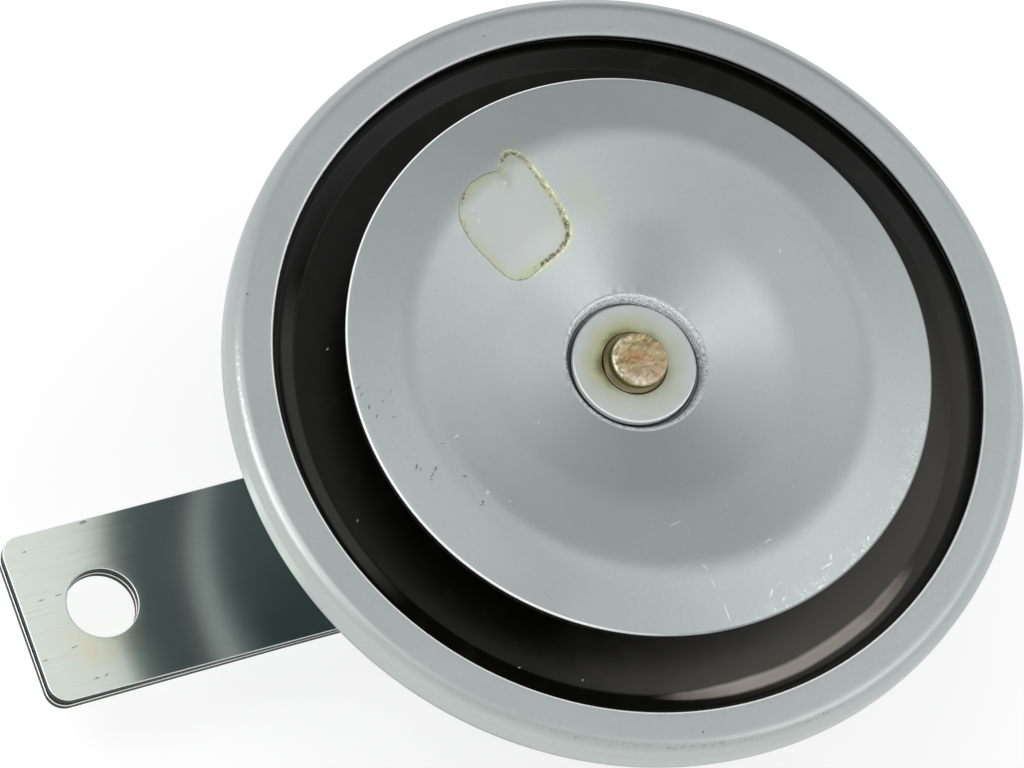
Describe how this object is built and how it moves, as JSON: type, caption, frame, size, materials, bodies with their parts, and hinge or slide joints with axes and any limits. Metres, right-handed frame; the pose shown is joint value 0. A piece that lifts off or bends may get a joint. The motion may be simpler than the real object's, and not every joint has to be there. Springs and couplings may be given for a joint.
{
  "type": "car horn",
  "caption": "Electric disc horn with a crimped rim, dished tone disc and vibrating armature, hung from a leafed spring bracket with a bolt hole.",
  "frame": {"origin": "centre of the bracket's bolt hole, on the front face of the front leaf", "axes": "+Z along the bolt and the sound axis, towards the tone disc; +X from the bolt hole along the bracket to the horn's axis; +Y completes the right hand"},
  "size_m": [0.1222, 0.1, 0.0574],
  "materials": {
    "silver_paint": "satin",
    "black_paint": "gloss",
    "plated_washer": "satin",
    "gasket_fibre": "matte",
    "passivated_iron": "satin",
    "bright_steel": "satin",
    "plated_steel": "satin",
    "zinc_plate": "satin",
    "moulded_plastic": "satin",
    "copper_wire": "gloss",
    "insulating_fibre": "matte",
    "spring_bronze": "satin",
    "contact_metal": "satin",
    "terminal_brass": "satin"
  },
  "bodies": {
    "housing": {"housing_shell": "silver_paint", "rim_ring": "silver_paint", "rear_gasket": "gasket_fibre", "front_gasket": "gasket_fibre", "diaphragm": "black_paint", "pole_core": "plated_steel", "coil_bobbin": "moulded_plastic", "coil_winding": "copper_wire", "coil_leads": "copper_wire", "contact_lead": "copper_wire", "contact_bracket": "bright_steel", "bracket_rivets": "bright_steel", "lower_insulator": "insulating_fibre", "middle_insulator": "insulating_fibre", "upper_insulator": "insulating_fibre", "clamp_plate": "bright_steel", "contact_spring": "spring_bronze", "fixed_contact_arm": "bright_steel", "fixed_contact_point": "contact_metal", "stack_rivets": "bright_steel", "adjusting_bush": "plated_steel", "adjusting_screw": "plated_steel", "terminal_block": "moulded_plastic", "terminal_blade_a": "terminal_brass", "terminal_blade_b": "terminal_brass", "terminal_rivets": "bright_steel", "bracket_front_leaf": "zinc_plate", "bracket_rear_leaf": "zinc_plate", "flat_washer": "zinc_plate", "spring_washer": "zinc_plate", "hex_nut": "zinc_plate"},
    "vibrator": {"armature": "passivated_iron", "diaphragm_washer": "bright_steel", "spacer_collar": "bright_steel", "tone_disc": "silver_paint", "front_washer": "plated_washer"},
    "breaker": {"contact_arm": "bright_steel", "moving_contact_point": "contact_metal", "arm_button": "insulating_fibre", "arm_rivets": "bright_steel"}
  },
  "joints": [
    {"name": "armature_slide", "type": "slide", "parent": "housing", "child": "vibrator", "axis": [0, 0, -1], "range_m": [0, 0.0007], "stiffness_N_per_m": 120000, "deforming": ["diaphragm"]},
    {"name": "contact_arm_hinge", "type": "hinge", "parent": "housing", "child": "breaker", "pos_m": [0.0874, 0, 0.02815], "axis": [0, -1, 0], "range_deg": [0, 2.7], "stiffness_Nm_per_rad": 1.2, "deforming": ["contact_spring"]}
  ],
  "couplings": [
    {"joint": "contact_arm_hinge", "follows": "armature_slide", "rad_per_m": 64.935}
  ]
}
